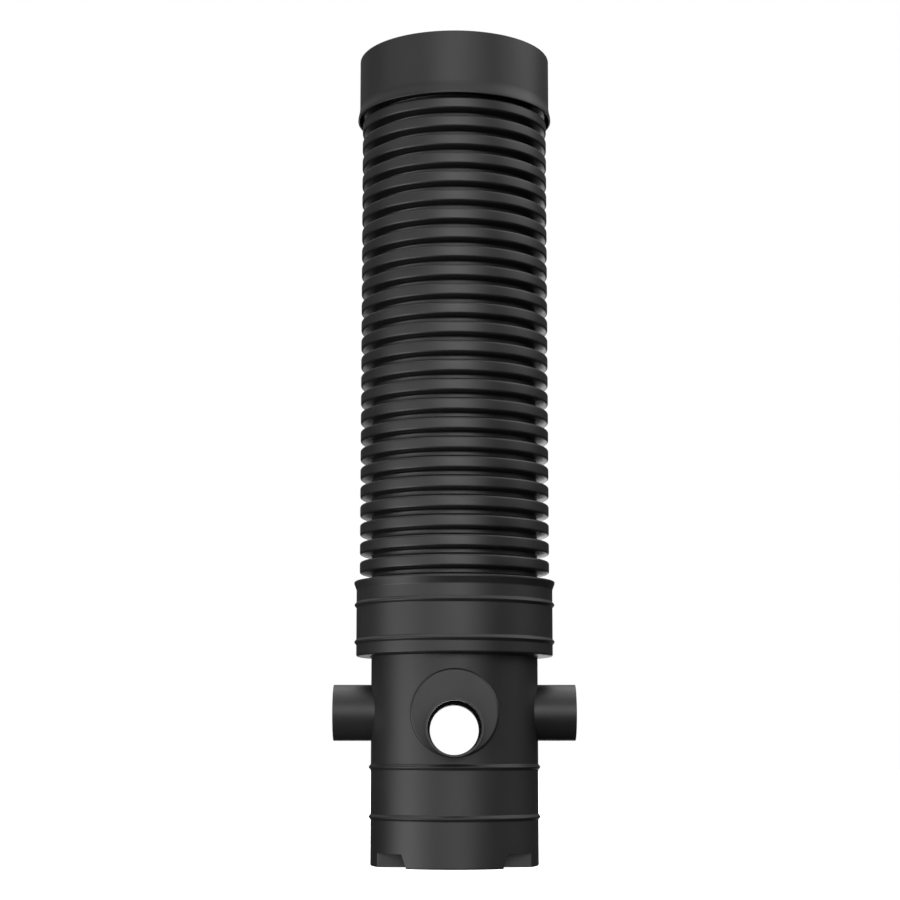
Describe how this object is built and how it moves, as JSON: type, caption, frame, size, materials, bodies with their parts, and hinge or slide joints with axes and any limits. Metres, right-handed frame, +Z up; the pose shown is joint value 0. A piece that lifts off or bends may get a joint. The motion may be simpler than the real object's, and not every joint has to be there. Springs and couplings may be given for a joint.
{
  "type": "catchpit chamber",
  "caption": "Upright black plastic drainage catchpit: a silt sump base with pipe spigots on all sides, a corrugated riser pipe in its socket and a push-on cap.",
  "frame": {"origin": "middle of the foot's underside, on the ground, on the shaft's axis", "axes": "+Z up the shaft, -Y out of the front spigot, +X out of the right side spigot"},
  "size_m": [0.478, 0.478, 1.6352],
  "materials": {
    "base_plastic": "satin black moulded polypropylene",
    "riser_plastic": "satin black extruded polypropylene",
    "seal_rubber": "matt black rubber",
    "cap_plastic": "satin black moulded polypropylene"
  },
  "bodies": {
    "root": {"chamber_base": "base_plastic", "riser_pipe": "riser_plastic", "riser_seal": "seal_rubber", "cover_cap": "cap_plastic"}
  },
  "joints": []
}
